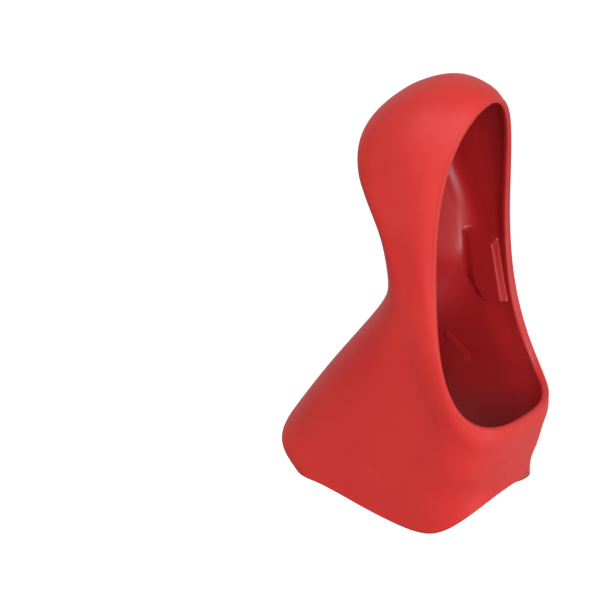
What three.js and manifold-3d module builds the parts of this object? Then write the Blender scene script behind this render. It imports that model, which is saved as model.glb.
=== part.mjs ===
// Brake lever hood: one soft moulded cover with a closed horn, an opening for the lever
// and an open tail that slips over the handlebar. Millimetres.
// It lies on its far side wall. X runs from its back toward the lever, Y from the tail
// toward the horn, and Z up through the near side wall, before the small resting turn.
import * as THREE from 'three';
import { ParametricGeometry } from 'three/addons/geometries/ParametricGeometry.js';
import { mergeVertices } from 'three/addons/utils/BufferGeometryUtils.js';
import Module from 'manifold-3d';

// Back line in the mid-plane, from the tip of the lever opening to the edge of the tail
const openingTip = [65.5, 107.6];
const hornFront = [56.7, 110.8];
const hornTop = [46, 111];
const hornBack = [26.4, 98.4];
const neckTop = [32, 82];
const neck = [36.2, 69.4];
const neckFoot = [37.9, 58.5];
const shoulder = [24.5, 44];
const flare = [10, 28.8];
const flareFoot = [-2, 14.4];
const tailHeel = [-7.2, 7.4];
const tailBackEdge = [1.2, -1];

// Front band in the mid-plane, from the foot of the lever opening to the edge of the tail
const openingFoot = [71, 25.6];
const bandTop = [68.3, 19.6];
const bandMiddle = [65.9, 13.2];
const tailFrontEdge = [63.3, 5.6];

// Rings run from the back line to the front band. Each leaves both lines in a heading,
// in degrees from the X axis, and keeps to it over a reach. All go from opening to tail
const backHeadings = [-119, -84, 20, -8, -68, -25, 20];
const backReaches = [26, 16.4, 14, 11, 25, 24];
const frontHeadings = [174, 167, 203, 205, 229];
const frontReaches = [20.5, 17.4, 23.4, 37.5];
const frontSpacing = 0.6;

// Half widths, and how deep and how square the rounding is at the back and at the front
const backHalfWidths = [14.8, 16.6, 17.2, 16.8, 16.9, 16.9, 16.9, 17.4];
const frontHalfWidths = [18.8, 17.4, 17.4, 16.6];
const backRoundings = [37, 27, 24, 20, 16];
const frontRoundings = [34, 30, 24, 23];
const backSquareness = [1.8, 2, 2.15, 2.5];
const frontSquareness = [3, 2.6, 2.5, 2.4];
const roundingEase = 2.5;

// Wall, thinner at the rim of the lever opening and thicker at the foot of it
const wall = 2.1;
const rimThinning = 0.6;
const footThickening = 0.2;

// Rolled rim: the outer skin turns inward over the reach. The wall ends a little short of
// the first and the last ring, where its round edges take over
const rollReach = 5;
const rollDepth = 0.9;
const openingTrim = 0.012;
const tailTrim = 0.008;

// Locating boss on the inside of the far wall, with its flat face toward the mid-plane
const bossCorners = [[42.4, 65.2], [52.8, 63], [54.6, 47.2], [46.5, 46.6], [43, 51.5]];
const bossFace = 12.9;
const bossRoot = 15.8;
const bossChamfer = 0.8;

// Low rib below the boss that grips the clamp of the lever body
const ribStart = [34, 33.4];
const ribEnd = [39.4, 28.9];
const ribRadius = 1.3;
const ribDistance = 15.5;

// Turn that brings the far side down onto the table
const restTip = -0.41;
const restRoll = -0.87;

const rubber = { color: 0xc93632, roughness: 0.55, metalness: 0 };

const aroundCount = 64;
const capSteps = 5;
const capsuleSteps = [4, 12];
const lineStep = 0.01;
const mergeDistance = 1e-4;

// Rows of the wall, closer together in the rolled rim
const rollRows = [0, 0.006, 0.014, 0.024, 0.038, 0.056].map((place) => openingTrim + place);
const plainStart = 0.09;
const plainRows = 32;
const rowPlaces = [...rollRows];
for (let i = 0; i <= plainRows; i += 1) {
  rowPlaces.push(THREE.MathUtils.lerp(plainStart, 1 - tailTrim, i / plainRows));
}

const backLine = [
  openingTip, hornFront, hornTop, hornBack, neckTop, neck, neckFoot, shoulder, flare,
  flareFoot, tailHeel, tailBackEdge,
];
const frontLine = [openingFoot, bandTop, bandMiddle, tailFrontEdge];

// Smooth curve through evenly spaced control values, as a uniform cubic B-spline
function spline(values, place) {
  const last = values.length - 1;
  const x = Math.min(Math.max(place, 0), 1) * last;
  const i = Math.min(Math.floor(x), last - 1);
  const f = x - i;
  const from = values[i];
  const to = values[i + 1];
  const before = i > 0 ? values[i - 1] : 2 * from - to;
  const after = i + 2 <= last ? values[i + 2] : 2 * to - from;
  return (
    before * (1 - f) ** 3
    + from * (3 * f ** 3 - 6 * f ** 2 + 4)
    + to * (-3 * f ** 3 + 3 * f ** 2 + 3 * f + 1)
    + after * f ** 3
  ) / 6;
}

// Point of a line in the mid-plane, moved into the hood by the inset
function linePoint(points, place, inset, inwardSide) {
  const xs = points.map((p) => p[0]);
  const ys = points.map((p) => p[1]);
  const low = Math.max(place - lineStep, 0);
  const high = Math.min(place + lineStep, 1);
  const dx = spline(xs, high) - spline(xs, low);
  const dy = spline(ys, high) - spline(ys, low);
  const scale = (inset * inwardSide) / Math.hypot(dx, dy);
  return new THREE.Vector3(spline(xs, place) - dy * scale, spline(ys, place) + dx * scale, 0);
}

function pointAlong(start, heading, reach) {
  const turn = THREE.MathUtils.degToRad(heading);
  const step = new THREE.Vector3(Math.cos(turn), Math.sin(turn), 0);
  return start.clone().addScaledVector(step, reach);
}

// Share of the full width at a distance into a rounded side
function rounding(distance, depth, square) {
  const rest = Math.min(Math.max(1 - distance / depth, 0), 1);
  return (1 - rest ** roundingEase) ** (1 / square);
}

// A point of the skin: angle runs round a ring from the back line, place from rim to rim,
// and inset is how far it lies inside the outer skin
function skin(angle, place, inset) {
  const frontPlace = place ** frontSpacing;
  const start = linePoint(backLine, place, inset, 1);
  const end = linePoint(frontLine, frontPlace, inset, -1);
  const afterStart = pointAlong(start, spline(backHeadings, place), spline(backReaches, place));
  const beforeEnd = pointAlong(end, spline(frontHeadings, place), spline(frontReaches, place));
  const length = start.distanceTo(afterStart) + afterStart.distanceTo(beforeEnd)
    + beforeEnd.distanceTo(end);
  const share = (1 - Math.cos(angle)) / 2;
  const point = new THREE.CubicBezierCurve3(start, afterStart, beforeEnd, end).getPoint(share);
  const halfWidth = THREE.MathUtils.lerp(
    spline(backHalfWidths, place),
    spline(frontHalfWidths, place),
    share * share * (3 - 2 * share),
  );
  const atBack = rounding(
    share * length,
    spline(backRoundings, place) - inset,
    spline(backSquareness, place),
  );
  const atFront = rounding(
    (1 - share) * length,
    spline(frontRoundings, place) - inset,
    spline(frontSquareness, place),
  );
  point.z = Math.sign(Math.sin(angle)) * (halfWidth - inset) * atBack * atFront;
  return point;
}

// How far the outer skin is rolled inward round the lever opening
function rollAt(angle, place) {
  const reach = skin(angle, place, 0).distanceTo(skin(angle, openingTrim, 0));
  return rollDepth * Math.max(1 - reach / rollReach, 0) ** 2;
}

function wallAt(angle, place) {
  const frontShare = (1 - Math.cos(angle)) / 2;
  const thicker = footThickening * frontShare ** 3 * (1 - place) ** 6;
  return wall - rimThinning * (1 - place) ** 12 + thicker;
}

function solidOf(wasm, geometry) {
  geometry.deleteAttribute('normal');
  geometry.deleteAttribute('uv');
  const joined = mergeVertices(geometry, mergeDistance);
  const mesh = new wasm.Mesh({
    numProp: 3,
    vertProperties: new Float32Array(joined.attributes.position.array),
    triVerts: new Uint32Array(joined.index.array),
  });
  return new wasm.Manifold(mesh);
}

// The closed wall, ring by ring: outer skin, round edge of the tail, inner skin, round edge
// of the lever opening
const rings = [];
for (const place of rowPlaces) {
  rings.push({ place, depth: 0 });
}
for (let i = 1; i < capSteps; i += 1) {
  rings.push({ place: 1 - tailTrim, turn: (Math.PI * i) / capSteps });
}
for (const place of [...rowPlaces].reverse()) {
  rings.push({ place, depth: 1 });
}
for (let i = capSteps - 1; i > 0; i -= 1) {
  rings.push({ place: openingTrim, turn: (Math.PI * i) / capSteps });
}

function wallPoint(u, v, target) {
  const angle = -2 * Math.PI * u;
  const ring = rings[Math.round(v * rings.length) % rings.length];
  const roll = rollAt(angle, ring.place);
  const outer = skin(angle, ring.place, roll);
  const inner = skin(angle, ring.place, roll + wallAt(angle, ring.place));
  if (ring.turn === undefined) {
    target.lerpVectors(outer, inner, ring.depth);
    return;
  }
  const across = outer.clone().sub(inner).multiplyScalar(0.5);
  const inward = ring.place < 0.5 ? lineStep : -lineStep;
  const away = outer.clone().sub(skin(angle, ring.place + inward, roll));
  away.addScaledVector(across, -away.dot(across) / across.lengthSq());
  away.setLength(across.length());
  target.lerpVectors(outer, inner, 0.5);
  target.addScaledVector(across, Math.cos(ring.turn));
  target.addScaledVector(away, Math.sin(ring.turn));
}

function buildShell(wasm) {
  return solidOf(wasm, new ParametricGeometry(wallPoint, aroundCount, rings.length));
}

function buildBoss(wasm) {
  const outline = new THREE.Shape(bossCorners.map((p) => new THREE.Vector2(p[0], p[1])));
  const geometry = new THREE.ExtrudeGeometry(outline, {
    depth: bossRoot - bossFace - 2 * bossChamfer,
    bevelEnabled: true,
    bevelThickness: bossChamfer,
    bevelSize: bossChamfer,
    bevelOffset: -bossChamfer,
    bevelSegments: 2,
  });
  geometry.translate(0, 0, bossChamfer - bossRoot);
  return solidOf(wasm, geometry);
}

function buildRib(wasm) {
  const start = new THREE.Vector3(ribStart[0], ribStart[1], -ribDistance);
  const end = new THREE.Vector3(ribEnd[0], ribEnd[1], -ribDistance);
  const direction = end.clone().sub(start);
  const geometry = new THREE.CapsuleGeometry(ribRadius, direction.length(), ...capsuleSteps);
  const turn = new THREE.Quaternion();
  turn.setFromUnitVectors(new THREE.Vector3(0, 1, 0), direction.clone().normalize());
  geometry.applyQuaternion(turn);
  const middle = start.clone().lerp(end, 0.5);
  geometry.translate(middle.x, middle.y, middle.z);
  return solidOf(wasm, geometry);
}

const wasm = await Module();
wasm.setup();
const joined = buildShell(wasm).add(buildBoss(wasm)).add(buildRib(wasm));
const result = joined.getMesh();
const geometry = new THREE.BufferGeometry();
geometry.setAttribute('position', new THREE.BufferAttribute(result.vertProperties, 3));
geometry.setIndex(new THREE.BufferAttribute(result.triVerts, 1));
geometry.rotateX(THREE.MathUtils.degToRad(restTip));
geometry.rotateY(THREE.MathUtils.degToRad(restRoll));
geometry.computeBoundingBox();
const box = geometry.boundingBox;
geometry.translate(-(box.min.x + box.max.x) / 2, -(box.min.y + box.max.y) / 2, -box.min.z);
geometry.computeVertexNormals();

const hood = new THREE.Mesh(geometry, new THREE.MeshStandardMaterial(rubber));
hood.name = 'hood';
const group = new THREE.Group();
group.add(hood);

export default group;
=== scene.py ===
import math

import bmesh
import bpy
import numpy as np
from mathutils import Matrix, Vector
from mathutils.bvhtree import BVHTree


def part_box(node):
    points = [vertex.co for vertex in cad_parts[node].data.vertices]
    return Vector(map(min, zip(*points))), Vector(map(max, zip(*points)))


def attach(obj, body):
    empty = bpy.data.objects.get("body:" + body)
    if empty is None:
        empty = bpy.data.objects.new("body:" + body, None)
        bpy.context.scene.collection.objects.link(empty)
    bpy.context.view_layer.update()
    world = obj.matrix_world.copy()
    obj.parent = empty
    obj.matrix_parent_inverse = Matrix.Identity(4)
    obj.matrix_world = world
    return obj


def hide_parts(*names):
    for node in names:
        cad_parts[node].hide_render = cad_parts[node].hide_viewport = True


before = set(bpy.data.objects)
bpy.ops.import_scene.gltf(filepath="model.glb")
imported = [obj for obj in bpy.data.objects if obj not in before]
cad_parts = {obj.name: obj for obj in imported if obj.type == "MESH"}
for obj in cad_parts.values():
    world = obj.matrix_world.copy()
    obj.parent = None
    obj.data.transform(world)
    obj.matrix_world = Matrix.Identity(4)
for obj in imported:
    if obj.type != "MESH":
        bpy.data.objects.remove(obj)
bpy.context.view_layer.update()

mm = 0.001


# Hood form, in millimetres: x from the back toward the lever, y from the tail toward the
# horn, z sideways from the mid-plane. The lines are the solid's, then come flank and touches
hoodForm = {
    "backLine": [
        (65.5, 107.6), (56.7, 110.8), (46, 111), (26.4, 98.4), (32, 82), (36.2, 69.4),
        (37.9, 58.5), (24.5, 44), (10, 28.8), (-2, 14.4), (-7.2, 7.4), (1.2, -1),
    ],
    "frontLine": [(71, 25.6), (68.3, 19.6), (65.9, 13.2), (63.3, 5.6)],
    "backHeadings": [-119, -84, 20, -8, -68, -25, 20],
    "backReaches": [26, 16.4, 14, 11, 25, 24],
    "frontHeadings": [174, 167, 203, 205, 229],
    "frontReaches": [20.5, 17.4, 23.4, 37.5],
    "frontSpacing": 0.6,
    "backHalfWidths": [14.8, 16.6, 17.2, 16.8, 16.9, 16.9, 16.9, 17.4],
    "frontHalfWidths": [18.8, 17.4, 17.4, 16.6],
    "backRoundings": [37, 27, 24, 20, 16],
    "frontRoundings": [34, 30, 24, 23],
    "backSquareness": [1.8, 2.0, 2.15, 2.5],
    "frontSquareness": [3, 2.6, 2.5, 2.4],
    "roundingEase": 2.5,
    "openingTrim": 0.012,
    "tailTrim": 0.008,
    "wall": 2.1,
    "rimThinning": 0.6,
    "footThickening": 0.2,
    "rollReach": 5,
    "rollDepth": 0.9,
    "restTip": -0.41,
    "restRoll": -0.87,
    "lineStep": 0.01,
    "aroundCount": 220,
    "rowCount": 140,
    "rowCrowding": 0.35,
    "rowCrowdingPower": 2.2,
    "edgeSteps": 12,
    "farEdgeSquare": 0.55,
    "farEdgeFade": 2,
    # the flank below the neck: a line, the reach of the fit on both sides of it, the size
    # of its patches, and the half width from which it starts and the rise to full effect
    "flank": {"start": (40, 80), "end": (49, 41), "spread": 10, "patch": 3.4, "lowest": 11.5,
              "rise": 1.5},
    # soft local forms: where on the ring, how wide, where from rim to rim, how wide, shift
    "touches": [
        {"angle": 0.5, "spread": 1.1, "place": 0.41, "reach": 0.05, "shift": (1.1, 0, 0)},
        {"angle": 1.75, "spread": 0.45, "place": 1.0, "reach": 0.09, "shift": (0, 1.6, 0)},
        {"angle": 2.75, "spread": 0.6, "place": 0.15, "reach": 0.35, "shift": (-0.35, 0, 0)},
    ],
}


def spline(values, place):
    # uniform cubic B-spline through evenly spaced control values
    values = np.asarray(values, float)
    ends = np.concatenate([[2 * values[0] - values[1]], values, [2 * values[-1] - values[-2]]])
    x = np.clip(place, 0, 1) * (len(values) - 1)
    i = np.minimum(np.floor(x).astype(int), len(values) - 2)
    f = x - i
    return (
        ends[i] * (1 - f) ** 3
        + ends[i + 1] * (3 * f ** 3 - 6 * f ** 2 + 4)
        + ends[i + 2] * (-3 * f ** 3 + 3 * f ** 2 + 3 * f + 1)
        + ends[i + 3] * f ** 3
    ) / 6


def linePoint(points, place, inset, inwardSide):
    xs = [p[0] for p in points]
    ys = [p[1] for p in points]
    low = np.maximum(place - hoodForm["lineStep"], 0)
    high = np.minimum(place + hoodForm["lineStep"], 1)
    dx = spline(xs, high) - spline(xs, low)
    dy = spline(ys, high) - spline(ys, low)
    scale = inset * inwardSide / np.hypot(dx, dy)
    return np.stack([spline(xs, place) - dy * scale, spline(ys, place) + dx * scale], -1)


def pointAlong(start, heading, reach):
    turn = np.radians(heading)
    return start + reach[..., None] * np.stack([np.cos(turn), np.sin(turn)], -1)


def rounding(distance, depth, square):
    rest = np.clip(1 - distance / depth, 0, 1)
    return (1 - rest ** hoodForm["roundingEase"]) ** (1 / square)


def skin(angle, place, inset):
    # a point of the hood: angle runs round a ring, place from the opening to the tail
    form = hoodForm
    start = linePoint(form["backLine"], place, inset, 1)
    end = linePoint(form["frontLine"], place ** form["frontSpacing"], inset, -1)
    backHeading = spline(form["backHeadings"], place)
    frontHeading = spline(form["frontHeadings"], place)
    afterStart = pointAlong(start, backHeading, spline(form["backReaches"], place))
    beforeEnd = pointAlong(end, frontHeading, spline(form["frontReaches"], place))
    length = (
        np.linalg.norm(afterStart - start, axis=-1)
        + np.linalg.norm(beforeEnd - afterStart, axis=-1)
        + np.linalg.norm(end - beforeEnd, axis=-1)
    )
    share = (1 - np.cos(angle)) / 2
    s = share[..., None]
    path = (
        start * (1 - s) ** 3
        + 3 * afterStart * s * (1 - s) ** 2
        + 3 * beforeEnd * s ** 2 * (1 - s)
        + end * s ** 3
    )
    backWidth = spline(form["backHalfWidths"], place)
    frontWidth = spline(form["frontHalfWidths"], place)
    halfWidth = backWidth + (frontWidth - backWidth) * share * share * (3 - 2 * share)
    atBack = rounding(
        share * length,
        spline(form["backRoundings"], place) - inset,
        spline(form["backSquareness"], place),
    )
    atFront = rounding(
        (1 - share) * length,
        spline(form["frontRoundings"], place) - inset,
        spline(form["frontSquareness"], place),
    )
    # rounded, so that both ends of a ring lie on the mid-plane
    side = np.sign(np.round(np.sin(angle), 9)) * (halfWidth - inset) * atBack * atFront
    return np.stack([path[..., 0], path[..., 1], side], -1)


def rollAt(angle, place):
    rim = np.full_like(place, hoodForm["openingTrim"])
    flat = np.zeros_like(place)
    gap = skin(angle, place, flat) - skin(angle, rim, flat)
    reach = np.linalg.norm(gap, axis=-1)
    return hoodForm["rollDepth"] * np.maximum(1 - reach / hoodForm["rollReach"], 0) ** 2


def wallAt(angle, place):
    frontShare = (1 - np.cos(angle)) / 2
    thicker = hoodForm["footThickening"] * frontShare ** 3 * (1 - place) ** 6
    return hoodForm["wall"] - hoodForm["rimThinning"] * (1 - place) ** 12 + thicker


# The turn that brings the far side down onto the table
restTurn = (
    Matrix.Rotation(math.radians(hoodForm["restRoll"]), 3, "Y")
    @ Matrix.Rotation(math.radians(hoodForm["restTip"]), 3, "X")
)
restArray = np.array(restTurn)


def smooth(value):
    value = min(max(value, 0), 1)
    return value * value * (3 - 2 * value)


def addTouches(points, angle, place):
    # both sides get the same forms, so the hood stays even
    for touch in hoodForm["touches"]:
        around = (np.abs(angle) - touch["angle"]) / touch["spread"]
        along = (place - touch["place"]) / touch["reach"]
        amount = np.exp(-around ** 2 - along ** 2)
        points = points + amount[..., None] * np.array(touch["shift"])
    return points


def easeFlank(points):
    # the rings run close together below the neck. There each side is fitted anew, point by
    # point, with a small curved patch through what lies around it
    flank = hoodForm["flank"]
    start = np.array(flank["start"])
    line = np.array(flank["end"]) - start
    result = points.copy()
    across = np.roll(points, -1, 1) - np.roll(points, 1, 1)
    areas = np.linalg.norm(np.cross(across, np.gradient(points, axis=0)), axis=-1)
    share = np.clip((points[..., :2] - start) @ line / (line @ line), 0, 1)
    gaps = np.linalg.norm(points[..., :2] - start - share[..., None] * line, axis=-1)
    for side in (-1, 1):
        near = gaps < flank["spread"] + 2 * flank["patch"]
        near &= points[..., 2] * side > flank["lowest"]
        others = points[near]
        weights = areas[near]
        for j, i in np.argwhere(near & (gaps < flank["spread"])):
            off = others[:, :2] - points[j, i, :2]
            weight = weights * np.exp(-np.sum(off ** 2, -1) / flank["patch"] ** 2)
            x, y = off.T
            basis = np.stack([np.ones_like(x), x, y, x * x, x * y, y * y])
            fit = np.linalg.solve((basis * weight) @ basis.T, (basis * weight) @ others[:, 2])
            # full effect on the inner half of the reach, none at its ends
            fade = 2 * (1 - gaps[j, i] / flank["spread"])
            height = (points[j, i, 2] * side - flank["lowest"]) / flank["rise"]
            hold = smooth(min(max(fade, 0), 1) * min(max(height, 0), 1))
            result[j, i, 2] += hold * (fit[0] - points[j, i, 2])
    return result


def buildHoodGrid():
    form = hoodForm
    # rows crowd toward the rolled rim of the opening
    steps = np.linspace(0, 1, form["rowCount"])
    crowding = form["rowCrowding"]
    places = crowding * steps ** form["rowCrowdingPower"] + (1 - crowding) * steps
    places = form["openingTrim"] + (1 - form["tailTrim"] - form["openingTrim"]) * places
    angles = np.linspace(-np.pi, np.pi, form["aroundCount"], endpoint=False)
    angleGrid, placeGrid = np.meshgrid(angles, places, indexing="xy")
    roll = rollAt(angleGrid, placeGrid)
    outer = skin(angleGrid, placeGrid, roll)
    inner = skin(angleGrid, placeGrid, roll + wallAt(angleGrid, placeGrid))
    outer = easeFlank(addTouches(outer, angleGrid, placeGrid))
    inner = easeFlank(addTouches(inner, angleGrid, placeGrid))
    # the edge of the opening is flatter on the far side
    farShare = np.clip(-np.sin(angles) * form["farEdgeFade"], 0, 1)[:, None]
    square = 1 - (1 - form["farEdgeSquare"]) * farShare
    rims = []
    # a rim is its last row, a row further in that gives its direction, and its squareness
    for row, innerRow, power in ((-1, -3, 1), (0, 2, square)):
        across = (outer[row] - inner[row]) / 2
        away = outer[row] - outer[innerRow]
        away -= across * (np.sum(away * across, -1) / np.sum(across * across, -1))[:, None]
        away *= (np.linalg.norm(across, axis=-1) / np.linalg.norm(away, axis=-1))[:, None]
        middle = (outer[row] + inner[row]) / 2
        ring = []
        for i in range(1, form["edgeSteps"]):
            turn = math.pi * i / form["edgeSteps"]
            share = math.cos(turn)
            side = math.copysign(1, share) * abs(share) ** power
            ring.append(middle + across * side + away * math.sin(turn) ** power)
        rims.append(ring)
    tailRim, openingRim = rims
    openingRim.reverse()
    rows = list(outer) + tailRim + list(inner[::-1]) + openingRim
    insideRows = (
        [0.0] * len(outer)
        + list(np.linspace(0, 1, len(tailRim)))
        + [1.0] * len(inner)
        + list(np.linspace(1, 0, len(openingRim)))
    )
    return np.array(rows), insideRows, outer


def toRow(points):
    # from the hood's own frame to the table's, in metres
    return (np.asarray(points) @ restArray.T + rowShift) * mm


hoodRows, insideRows, outerRows = buildHoodGrid()
# the shift puts the hood's box where the solid's box is
turned = hoodRows.reshape(-1, 3) @ restArray.T
lowCorner = turned.min(0)
highCorner = turned.max(0)
boxLow, boxHigh = [np.array(corner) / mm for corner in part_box("hood")]
rowShift = np.array([
    (boxLow[0] + boxHigh[0] - lowCorner[0] - highCorner[0]) / 2,
    (boxLow[1] + boxHigh[1] - lowCorner[1] - highCorner[1]) / 2,
    boxLow[2] - lowCorner[2],
])
print("hood grid:", hoodRows.shape)


# Materials
rubberLook = {
    "base": (0.60, 0.026, 0.021),
    "pale": (0.63, 0.031, 0.025),
    "deep": (0.57, 0.021, 0.019),
    "cloudScale": 38.0,
    # the inside: a deeper red, darkened further by painted shade for the hollow
    "insideDeepAndShaded": (0.42, 0.0155, 0.019),
    "roughness": 0.5,
    "insideRoughness": 0.3,
    "smudge": 0.12,
    "smudgeScale": 160.0,
    "specular": 0.4,
    "grainScale": 1900.0,
    "grainStrength": 0.35,
    "grainHeight": 0.00003,
    "dustScale": 230.0,
    "dustSize": (0.02, 0.05),
    "dustStrength": 0.35,
    # fine marks as lines or dots on the skin, model millimetres
    "marks": [
        {"from": (28.56, 10.01, 17.0), "to": (35.05, 5.87, 17.04), "width": 0.16,
         "strength": 0.3},
        {"from": (47.24, 89.76, -14.72), "to": (47.0, 90.4, -14.7), "width": 0.22,
         "strength": 0.55},
        {"from": (38.89, 73.73, -10.64), "to": (38.9, 74.9, -10.6), "width": 0.22,
         "strength": 0.5},
    ],
    "markColour": (0.72, 0.16, 0.14, 1),
    # the lip's paler grey-pink is painted light, the floor's bounce on its inner face
    "lipPaintedLight": (0.48, 0.13, 0.12, 1),
}


def newMaterial(name):
    material = bpy.data.materials.new(name)
    material.use_nodes = True
    material.node_tree.nodes.clear()
    return material


def addNode(tree, kind, **settings):
    node = tree.nodes.new(kind)
    for key, value in settings.items():
        setattr(node, key, value)
    return node


def setInputs(node, **values):
    for key, value in values.items():
        node.inputs[key.replace("_", " ")].default_value = value


def buildLineGroup():
    # one at a line between two points, falling to nothing over its width
    group = bpy.data.node_groups.new("line mask", "ShaderNodeTree")
    sockets = group.interface
    for name, kind in (("Point", "NodeSocketVector"), ("Start", "NodeSocketVector"),
                       ("End", "NodeSocketVector"), ("Width", "NodeSocketFloat")):
        sockets.new_socket(name, in_out="INPUT", socket_type=kind)
    sockets.new_socket("Mask", in_out="OUTPUT", socket_type="NodeSocketFloat")
    link = group.links.new
    given = addNode(group, "NodeGroupInput")
    out = addNode(group, "NodeGroupOutput")

    def vectorMath(operation, a, b=None):
        node = addNode(group, "ShaderNodeVectorMath", operation=operation)
        link(a, node.inputs[0])
        if b is not None:
            link(b, node.inputs[1])
        return node.outputs

    toPoint = vectorMath("SUBTRACT", given.outputs["Point"], given.outputs["Start"])
    toEnd = vectorMath("SUBTRACT", given.outputs["End"], given.outputs["Start"])
    along = vectorMath("DOT_PRODUCT", toPoint["Vector"], toEnd["Vector"])
    whole = vectorMath("DOT_PRODUCT", toEnd["Vector"], toEnd["Vector"])
    share = addNode(group, "ShaderNodeMath", operation="DIVIDE", use_clamp=True)
    link(along["Value"], share.inputs[0])
    link(whole["Value"], share.inputs[1])
    nearest = addNode(group, "ShaderNodeVectorMath", operation="SCALE")
    link(toEnd["Vector"], nearest.inputs[0])
    link(share.outputs["Value"], nearest.inputs["Scale"])
    off = vectorMath("SUBTRACT", toPoint["Vector"], nearest.outputs["Vector"])
    gap = vectorMath("LENGTH", off["Vector"])
    fade = addNode(group, "ShaderNodeMapRange", interpolation_type="SMOOTHSTEP")
    setInputs(fade, To_Min=1.0, To_Max=0.0)
    link(gap["Value"], fade.inputs["Value"])
    link(given.outputs["Width"], fade.inputs["From Max"])
    link(fade.outputs["Result"], out.inputs["Mask"])
    return group


def mixColour(tree, factor, low, high):
    # low and high are sockets or plain colours
    node = addNode(tree, "ShaderNodeMix", data_type="RGBA")
    for name, value in (("Factor", factor), ("A", low), ("B", high)):
        sockets = [s for s in node.inputs if s.name == name and s.enabled]
        if isinstance(value, bpy.types.NodeSocket):
            tree.links.new(value, sockets[0])
        else:
            sockets[0].default_value = value
    return [s for s in node.outputs if s.enabled][0]


def buildRubber():
    look = rubberLook
    material = newMaterial("red silicone rubber")
    tree = material.node_tree
    link = tree.links.new
    output = addNode(tree, "ShaderNodeOutputMaterial")
    shader = addNode(tree, "ShaderNodeBsdfPrincipled")
    link(shader.outputs["BSDF"], output.inputs["Surface"])
    coords = addNode(tree, "ShaderNodeTexCoord")

    cloudy = addNode(tree, "ShaderNodeTexNoise")
    setInputs(cloudy, Scale=look["cloudScale"], Detail=3.0, Roughness=0.55)
    link(coords.outputs["Object"], cloudy.inputs["Vector"])
    tint = addNode(tree, "ShaderNodeValToRGB")
    tint.color_ramp.elements[0].position = 0.3
    tint.color_ramp.elements[0].color = (*look["deep"], 1)
    tint.color_ramp.elements[1].position = 0.7
    tint.color_ramp.elements[1].color = (*look["pale"], 1)
    middle = tint.color_ramp.elements.new(0.5)
    middle.color = (*look["base"], 1)
    link(cloudy.outputs["Fac"], tint.inputs["Fac"])

    # the inner skin, boss and rib take a deeper red that also holds painted shade for the hollow
    inside = addNode(tree, "ShaderNodeAttribute", attribute_name="inside")
    insideDeepAndShaded = (*look["insideDeepAndShaded"], 1)
    colour = mixColour(tree, inside.outputs["Fac"], tint.outputs["Color"], insideDeepAndShaded)
    # beads marked pale take painted light, paler as if lit from the floor below
    pale = addNode(tree, "ShaderNodeAttribute", attribute_name="pale")
    colour = mixColour(tree, pale.outputs["Fac"], colour, look["lipPaintedLight"])
    lines = buildLineGroup()
    for mark in look["marks"]:
        line = addNode(tree, "ShaderNodeGroup")
        line.node_tree = lines
        link(coords.outputs["Object"], line.inputs["Point"])
        setInputs(line, Start=toRow(mark["from"]), End=toRow(mark["to"]), Width=mark["width"] * mm)
        weaker = addNode(tree, "ShaderNodeMath", operation="MULTIPLY")
        weaker.inputs[1].default_value = mark["strength"]
        link(line.outputs["Mask"], weaker.inputs[0])
        colour = mixColour(tree, weaker.outputs["Value"], colour, look["markColour"])

    # sparse pale dust
    dust = addNode(tree, "ShaderNodeTexVoronoi")
    setInputs(dust, Scale=look["dustScale"], Randomness=1.0)
    link(coords.outputs["Object"], dust.inputs["Vector"])
    speck = addNode(tree, "ShaderNodeMapRange", interpolation_type="SMOOTHSTEP")
    small, large = look["dustSize"]
    setInputs(speck, From_Min=large, From_Max=small, To_Min=0.0, To_Max=look["dustStrength"])
    link(dust.outputs["Distance"], speck.inputs["Value"])
    colour = mixColour(tree, speck.outputs["Result"], colour, look["markColour"])
    link(colour, shader.inputs["Base Color"])

    smudge = addNode(tree, "ShaderNodeTexNoise")
    setInputs(smudge, Scale=look["smudgeScale"], Detail=4.0, Roughness=0.6)
    link(coords.outputs["Object"], smudge.inputs["Vector"])
    roughness = addNode(tree, "ShaderNodeMapRange")
    setInputs(roughness, To_Min=look["roughness"], To_Max=look["insideRoughness"])
    link(inside.outputs["Fac"], roughness.inputs["Value"])
    rubbed = addNode(tree, "ShaderNodeMath", operation="MULTIPLY_ADD")
    rubbed.inputs[1].default_value = look["smudge"]
    link(smudge.outputs["Fac"], rubbed.inputs[0])
    link(roughness.outputs["Result"], rubbed.inputs[2])
    link(rubbed.outputs["Value"], shader.inputs["Roughness"])

    grain = addNode(tree, "ShaderNodeTexNoise")
    setInputs(grain, Scale=look["grainScale"], Detail=2.0, Roughness=0.5)
    link(coords.outputs["Object"], grain.inputs["Vector"])
    bump = addNode(tree, "ShaderNodeBump")
    setInputs(bump, Strength=look["grainStrength"], Distance=look["grainHeight"])
    link(grain.outputs["Fac"], bump.inputs["Height"])
    link(bump.outputs["Normal"], shader.inputs["Normal"])

    shader.inputs["Specular IOR Level"].default_value = look["specular"]
    return material


rubber = buildRubber()


def faceOutward(mesh):
    work = bmesh.new()
    work.from_mesh(mesh)
    if work.calc_volume(signed=True) < 0:
        bmesh.ops.reverse_faces(work, faces=work.faces)
    work.to_mesh(mesh)
    work.free()


def addAttribute(mesh, name, values):
    attribute = mesh.attributes.new(name, "FLOAT", "POINT")
    attribute.data.foreach_set("value", np.asarray(values, np.float32))


def finishPiece(name, mesh, material):
    piece = bpy.data.objects.new(name, mesh)
    bpy.context.scene.collection.objects.link(piece)
    mesh.materials.clear()
    mesh.materials.append(material)
    for polygon in mesh.polygons:
        polygon.use_smooth = True
    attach(piece, "root")
    return piece


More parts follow.
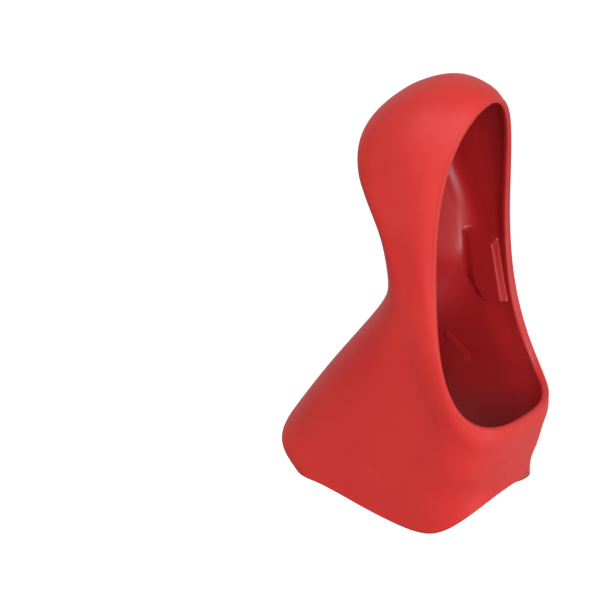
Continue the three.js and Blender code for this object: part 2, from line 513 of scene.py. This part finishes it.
def buildHood():
    rowTotal, aroundTotal, _ = hoodRows.shape
    mesh = bpy.data.meshes.new("hood skin")
    faces = []
    for j in range(rowTotal):
        k = (j + 1) % rowTotal
        for i in range(aroundTotal):
            n = (i + 1) % aroundTotal
            here = j * aroundTotal
            there = k * aroundTotal
            faces.append((here + i, there + i, there + n, here + n))
    mesh.from_pydata(toRow(hoodRows.reshape(-1, 3)).tolist(), [], faces)
    addAttribute(mesh, "inside", np.repeat(insideRows, aroundTotal))
    faceOutward(mesh)
    piece = finishPiece("hood_skin", mesh, rubber)
    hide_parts("hood")
    return piece


hoodSkin = buildHood()
print("hood skin:", len(hoodSkin.data.polygons), "faces")


# Raised forms on the inside of the far wall. Each is a patch that runs into the wall all
# round, closed below by a second sheet that lies inside the wall
skinTree = BVHTree.FromObject(hoodSkin, bpy.context.evaluated_depsgraph_get())
sideways = restTurn @ Vector((0, 0, -1))


def wallDepthAt(x, y):
    place, normal, index, distance = skinTree.ray_cast(Vector(toRow((x, y, 0))), sideways)
    return distance / mm


def buildPatch(name, form, faceAt):
    left, foot = form["low"]
    head = form["high"]
    tall = int((head - foot) / form["grid"]) + 1
    wide = int((form["rightAtFoot"] - left) / form["grid"]) + 1
    top = []
    under = []
    for y in np.linspace(foot, head, tall):
        # the right border follows the rim of the opening
        climb = (y - foot) / (head - foot)
        right = form["rightAtFoot"] + climb * (form["rightAtHead"] - form["rightAtFoot"])
        for x in np.linspace(left, right, wide):
            depth = wallDepthAt(x, y)
            share, face = faceAt(x, y, depth)
            low = depth + form["sink"]
            top.append((x, y, -(low + share * (face - low))))
            under.append((x, y, -(depth + form["base"])))
    count = wide * tall
    faces = []
    for j in range(tall - 1):
        for i in range(wide - 1):
            a = j * wide + i
            faces.append((a, a + 1, a + wide + 1, a + wide))
            faces.append((count + a, count + a + wide, count + a + wide + 1, count + a + 1))
    border = (
        list(range(wide))
        + [j * wide + wide - 1 for j in range(1, tall)]
        + [(tall - 1) * wide + i for i in range(wide - 2, -1, -1)]
        + [j * wide for j in range(tall - 2, 0, -1)]
    )
    for k, a in enumerate(border):
        b = border[(k + 1) % len(border)]
        faces.append((b, a, count + a, count + b))
    mesh = bpy.data.meshes.new(name.replace("_", " "))
    mesh.from_pydata(toRow(top + under).tolist(), [], faces)
    addAttribute(mesh, "inside", np.ones(2 * count))
    faceOutward(mesh)
    return finishPiece(name, mesh, rubber)


# Locating boss: its face is flat, and its front and foot sides are the steep ones. Slopes
# go with the sides that start at each corner
bossForm = {
    "corners": [(42.2, 65.2), (51.5, 63.2), (53.3, 47.2), (46.5, 46.8), (43, 51.5)],
    "slopes": [2.2, 0.9, 1.2, 3.0, 4.5],
    "face": 12.9,
    "cornerEase": 0.225,
    "low": (39, 43.5),
    "high": 68,
    "rightAtFoot": 55.4,
    "rightAtHead": 53.9,
    "grid": 0.2,
    "sink": 0.05,
    "base": 0.9,
}


def bossFaceAt(x, y, depth):
    corners = bossForm["corners"]
    # how far inside each side the point lies, as a share of that side's slope
    shares = []
    for i, (ax, ay) in enumerate(corners):
        bx, by = corners[(i + 1) % len(corners)]
        long = math.hypot(bx - ax, by - ay)
        within = ((by - ay) * (x - ax) - (bx - ax) * (y - ay)) / long
        slope = bossForm["slopes"][i]
        shares.append((within + slope / 2) / slope)
    # half of a soft minimum's drop rounds the corners
    ease = bossForm["cornerEase"]
    least = min(shares)
    total = sum(math.exp((least - share) / ease) for share in shares)
    return smooth(least - ease * math.log(total) / 2), bossForm["face"]


# Low rib under the boss
ribForm = {
    "start": (34, 33.4),
    "end": (39.4, 28.9),
    "height": 0.4,
    "half": 2.0,
    "low": (31, 25.5),
    "high": 36.8,
    "rightAtFoot": 42.4,
    "rightAtHead": 42.4,
    "grid": 0.2,
    "sink": 0.05,
    "base": 0.9,
}


def ribFaceAt(x, y, depth):
    ax, ay = ribForm["start"]
    bx, by = ribForm["end"]
    along = (x - ax) * (bx - ax) + (y - ay) * (by - ay)
    share = min(max(along / ((bx - ax) ** 2 + (by - ay) ** 2), 0), 1)
    gap = math.hypot(x - ax - share * (bx - ax), y - ay - share * (by - ay))
    return smooth(1 - gap / ribForm["half"]), depth - ribForm["height"]


boss = buildPatch("locating_boss", bossForm, bossFaceAt)
rib = buildPatch("grip_rib", ribForm, ribFaceAt)
print("boss and rib:", len(boss.data.polygons), len(rib.data.polygons), "faces")


# Fine beads that follow the skin: the moulding seam, and a lip under the tail's back edge.
# Sink is how deep the middle of a bead lies, dive how many radii deeper its ends go
beadSweep = {"sides": 10, "step": 0.8}
beadForm = {
    "seam_back": {"rows": (16, -4), "angle": 0, "radius": 0.17, "sink": 0.09, "dive": 3},
    "seam_front": {"rows": (3, 48), "angle": math.pi, "radius": 0.2, "sink": 0.1, "dive": 3},
    # the tail lip is marked pale: its colour is painted light from the floor's bounce
    "tail_lip": {"angle": 0.95, "radius": 0.6, "sink": -0.35, "dive": 1.6, "diveColumns": 8,
                 "pale": 1.0},
}


def buildBeadTree():
    tree = bpy.data.node_groups.new("bead along a line", "GeometryNodeTree")
    sockets = tree.interface
    sockets.new_socket("Geometry", in_out="INPUT", socket_type="NodeSocketGeometry")
    sockets.new_socket("Bead Radius", in_out="INPUT", socket_type="NodeSocketFloat")
    sockets.new_socket("Step", in_out="INPUT", socket_type="NodeSocketFloat")
    sockets.new_socket("Rubber", in_out="INPUT", socket_type="NodeSocketMaterial")
    sockets.new_socket("Geometry", in_out="OUTPUT", socket_type="NodeSocketGeometry")
    link = tree.links.new
    given = addNode(tree, "NodeGroupInput")
    out = addNode(tree, "NodeGroupOutput")
    toCurve = addNode(tree, "GeometryNodeMeshToCurve")
    resample = addNode(tree, "GeometryNodeResampleCurve", mode="LENGTH")
    profile = addNode(tree, "GeometryNodeCurvePrimitiveCircle")
    setInputs(profile, Resolution=beadSweep["sides"])
    sweep = addNode(tree, "GeometryNodeCurveToMesh")
    setInputs(sweep, Fill_Caps=True)
    realize = addNode(tree, "GeometryNodeRealizeInstances")
    paint = addNode(tree, "GeometryNodeSetMaterial")
    link(given.outputs["Geometry"], toCurve.inputs["Mesh"])
    link(toCurve.outputs["Curve"], resample.inputs["Curve"])
    link(given.outputs["Step"], resample.inputs["Length"])
    link(given.outputs["Bead Radius"], profile.inputs["Radius"])
    link(resample.outputs["Curve"], sweep.inputs["Curve"])
    link(profile.outputs["Curve"], sweep.inputs["Profile Curve"])
    link(sweep.outputs["Mesh"], realize.inputs["Geometry"])
    link(realize.outputs["Geometry"], paint.inputs["Geometry"])
    link(given.outputs["Rubber"], paint.inputs["Material"])
    link(paint.outputs["Geometry"], out.inputs["Geometry"])
    return tree


def setModifier(modifier, values):
    for item in modifier.node_group.interface.items_tree:
        if item.in_out == "INPUT" and item.name in values:
            modifier[item.identifier] = values[item.name]


def seamLine(form):
    first, last = form["rows"]
    column = round((form["angle"] + math.pi) / (2 * math.pi) * hoodForm["aroundCount"])
    line = outerRows[first:last, column % hoodForm["aroundCount"]].copy()
    line[:, 2] = 0
    # the line is sunk toward the middle of the hood, and both ends dive into the wall
    steps = np.gradient(line[:, :2], axis=0)
    steps /= np.linalg.norm(steps, axis=-1)[:, None]
    inward = np.stack([-steps[:, 1], steps[:, 0]], -1)
    if form["angle"] == math.pi:
        inward = -inward
    sink = np.full(len(line), form["sink"])
    sink[[0, -1]] += form["dive"] * form["radius"]
    line[:, :2] += inward * sink[:, None]
    return line


def lipLine(form):
    # along the outermost line of the tail's edge, round the back
    count = hoodForm["aroundCount"]
    reach = round(form["angle"] / (2 * math.pi) * count)
    columns = np.arange(count // 2 - reach, count // 2 + reach + 1)
    edge = hoodRows[len(outerRows) + hoodForm["edgeSteps"] // 2 - 1, columns]
    inward = outerRows[-4, columns] - outerRows[-1, columns]
    inward /= np.linalg.norm(inward, axis=-1)[:, None]
    order = np.arange(len(columns))
    fromEnd = np.minimum(order, order[::-1]) / form["diveColumns"]
    sink = form["sink"] + form["dive"] * form["radius"] * np.clip(1 - fromEnd, 0, 1) ** 2
    return edge + inward * sink[:, None]


def buildBead(name, form):
    line = seamLine(form) if "rows" in form else lipLine(form)
    guide = bpy.data.meshes.new(name + " line")
    edges = [(i, i + 1) for i in range(len(line) - 1)]
    guide.from_pydata(toRow(line).tolist(), edges, [])
    thing = bpy.data.objects.new(name + " line", guide)
    bpy.context.scene.collection.objects.link(thing)
    modifier = thing.modifiers.new("bead", "NODES")
    modifier.node_group = beadTree
    setModifier(modifier, {
        "Bead Radius": form["radius"] * mm,
        "Step": beadSweep["step"] * mm,
        "Rubber": rubber,
    })
    evaluated = thing.evaluated_get(bpy.context.evaluated_depsgraph_get())
    mesh = bpy.data.meshes.new_from_object(evaluated)
    mesh.name = name.replace("_", " ")
    bpy.data.objects.remove(thing)
    bpy.data.meshes.remove(guide)
    # the pale attribute carries the lip's painted light
    addAttribute(mesh, "pale", np.full(len(mesh.vertices), form.get("pale", 0)))
    return finishPiece(name, mesh, rubber)


beadTree = buildBeadTree()
for beadName, form in beadForm.items():
    bead = buildBead(beadName, form)
    print(beadName, len(bead.data.polygons), "faces")


# Stage: pale floor, soft lamps and a world that the camera sees as white. A lamp has its
# place and the point it faces in metres, its size and its power
stageLook = {
    "floorSize": 6.0,
    "floorColour": (0.76, 0.76, 0.76, 1),
    "floorLift": 0.6,
    "worldStrength": 0.26,
    "lamps": {
        "key": ((0.95, 0.45, 0.8), (0, 0, 0.02), 0.8, 10.3),
        "fill": ((-0.1, 0.8, 1.05), (0, 0, 0.02), 0.9, 7.2),
        "front strip": ((0.95, -0.42, 0.36), (0, 0.01, 0.018), 0.3, 3),
    },
}


def buildFloor():
    mesh = bpy.data.meshes.new("floor")
    half = stageLook["floorSize"] / 2
    mesh.from_pydata(
        [(-half, -half, 0), (half, -half, 0), (half, half, 0), (-half, half, 0)],
        [],
        [(0, 1, 2, 3)],
    )
    floor = bpy.data.objects.new("floor", mesh)
    bpy.context.scene.collection.objects.link(floor)
    material = newMaterial("pale floor")
    tree = material.node_tree
    link = tree.links.new
    output = addNode(tree, "ShaderNodeOutputMaterial")
    diffuse = addNode(tree, "ShaderNodeBsdfDiffuse")
    setInputs(diffuse, Color=stageLook["floorColour"])
    lift = addNode(tree, "ShaderNodeEmission")
    path = addNode(tree, "ShaderNodeLightPath")
    strength = addNode(tree, "ShaderNodeMath", operation="MULTIPLY")
    strength.inputs[1].default_value = stageLook["floorLift"]
    link(path.outputs["Is Camera Ray"], strength.inputs[0])
    link(strength.outputs["Value"], lift.inputs["Strength"])
    add = addNode(tree, "ShaderNodeAddShader")
    link(diffuse.outputs["BSDF"], add.inputs[0])
    link(lift.outputs["Emission"], add.inputs[1])
    link(add.outputs["Shader"], output.inputs["Surface"])
    mesh.materials.append(material)


def buildWorld():
    world = bpy.data.worlds.new("studio")
    bpy.context.scene.world = world
    world.use_nodes = True
    tree = world.node_tree
    tree.nodes.clear()
    link = tree.links.new
    output = addNode(tree, "ShaderNodeOutputWorld")
    background = addNode(tree, "ShaderNodeBackground")
    path = addNode(tree, "ShaderNodeLightPath")
    strength = addNode(tree, "ShaderNodeMix", data_type="FLOAT")
    strength.inputs["A"].default_value = stageLook["worldStrength"]
    strength.inputs["B"].default_value = 1.0
    link(path.outputs["Is Camera Ray"], strength.inputs["Factor"])
    link(strength.outputs["Result"], background.inputs["Strength"])
    setInputs(background, Color=(1, 1, 1, 1))
    link(background.outputs["Background"], output.inputs["Surface"])


def addLamp(name, place, target, size, power):
    lamp = bpy.data.lights.new(name, "AREA")
    lamp.shape = "DISK"
    lamp.size = size
    lamp.energy = power
    thing = bpy.data.objects.new(name, lamp)
    thing.location = place
    thing.rotation_euler = (Vector(target) - Vector(place)).to_track_quat("-Z", "Y").to_euler()
    bpy.context.scene.collection.objects.link(thing)


# The camera sees the hood from the side of its lever opening, from above
view = {
    "frame": 600,
    "around": 39.76,
    "above": 23.35,
    "roll": 4.38,
    "distance": 0.7,
    "pixelsPerMm": 4.04,
    "aim": (38, 52, 0),
    "aimPixel": (419.7, 292.5),
    "sensor": 36,
    "nearest": 0.01,
}


def placeCamera():
    around = math.radians(view["around"])
    above = math.radians(view["above"])
    roll = math.radians(view["roll"])
    side = Vector((math.cos(around), 0, -math.sin(around)))
    level = Vector((math.sin(around), 0, math.cos(around)))
    along = Vector((0, 1, 0))
    rise = along * math.cos(above) - level * math.sin(above)
    toward = level * math.cos(above) + along * math.sin(above)
    right = side * math.cos(roll) - rise * math.sin(roll)
    up = side * math.sin(roll) + rise * math.cos(roll)
    right, up, toward = [restTurn @ axis for axis in (right, up, toward)]
    aim = Vector(toRow(view["aim"]))
    place = aim + toward * view["distance"]
    # the aim point lies off the middle of the picture, so the camera turns away from it
    focal = view["pixelsPerMm"] * view["distance"] / mm
    dx = view["aimPixel"][0] - view["frame"] / 2
    dy = view["frame"] / 2 - view["aimPixel"][1]
    forward = (-toward * focal - right * dx - up * dy).normalized()
    right = (right - forward * right.dot(forward)).normalized()
    up = right.cross(forward)
    camera = bpy.data.cameras.new("camera")
    camera.sensor_width = view["sensor"]
    camera.lens = view["sensor"] * focal / view["frame"]
    camera.clip_start = view["nearest"]
    thing = bpy.data.objects.new("camera", camera)
    matrix = Matrix((right, up, -forward)).transposed().to_4x4()
    matrix.translation = place
    thing.matrix_world = matrix
    bpy.context.scene.collection.objects.link(thing)
    bpy.context.scene.camera = thing


buildFloor()
buildWorld()
placeCamera()
for lampName, setting in stageLook["lamps"].items():
    addLamp(lampName, *setting)
print("stage and camera set")

bpy.context.scene.view_settings.view_transform = "Standard"
